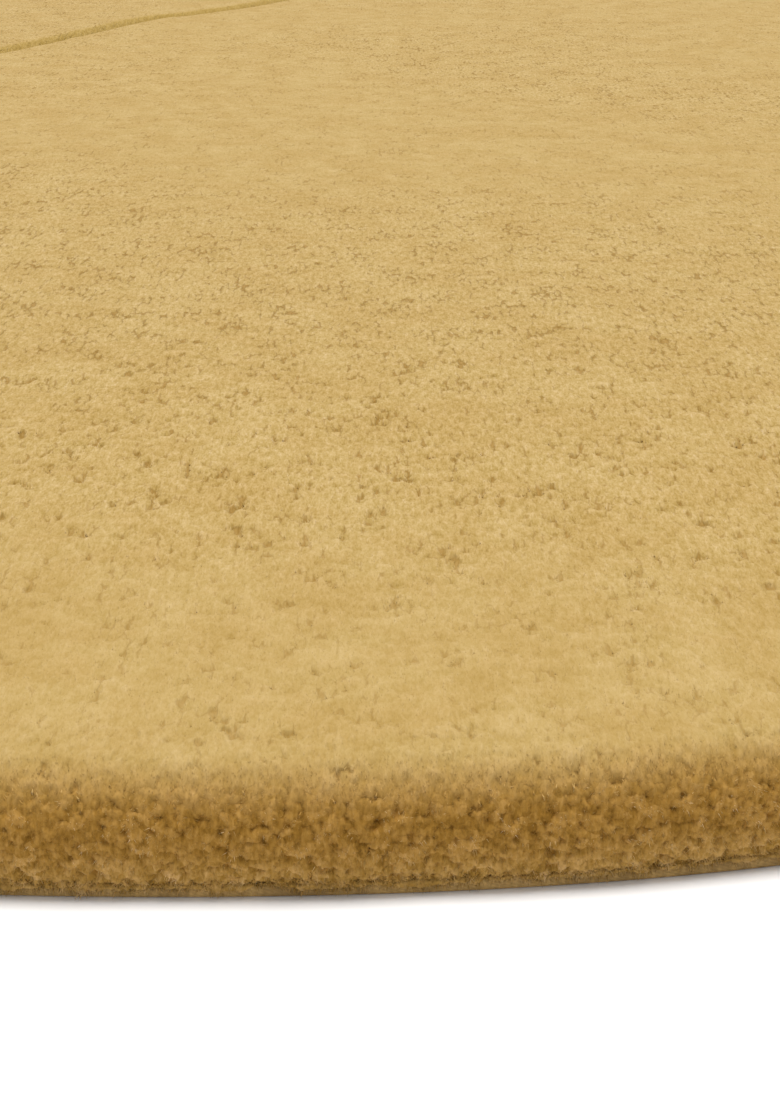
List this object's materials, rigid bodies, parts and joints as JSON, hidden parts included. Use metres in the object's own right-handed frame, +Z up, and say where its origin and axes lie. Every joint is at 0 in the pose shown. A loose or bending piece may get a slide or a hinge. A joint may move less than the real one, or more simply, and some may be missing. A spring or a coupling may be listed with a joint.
{
  "type": "tufted wool rug",
  "caption": "Small pebble-shaped hand-tufted wool rug with a dense cut pile, rounded shoulder, thin carved line and glued-on canvas backing, lying flat.",
  "frame": {"origin": "middle of the underside, on the floor", "axes": "+Z up out of the pile, +Y along the rug's length away from the pictured edge, +X to the right"},
  "size_m": [0.9, 1, 0.017],
  "materials": {
    "wool": "matt sheared wool cut pile, golden ochre, soft felted top with small dark gaps between tufts",
    "canvas": "matt plain-weave cotton canvas, undyed brownish beige"
  },
  "bodies": {
    "root": {"wool_pile": "wool", "backing_cloth": "canvas"}
  },
  "joints": []
}
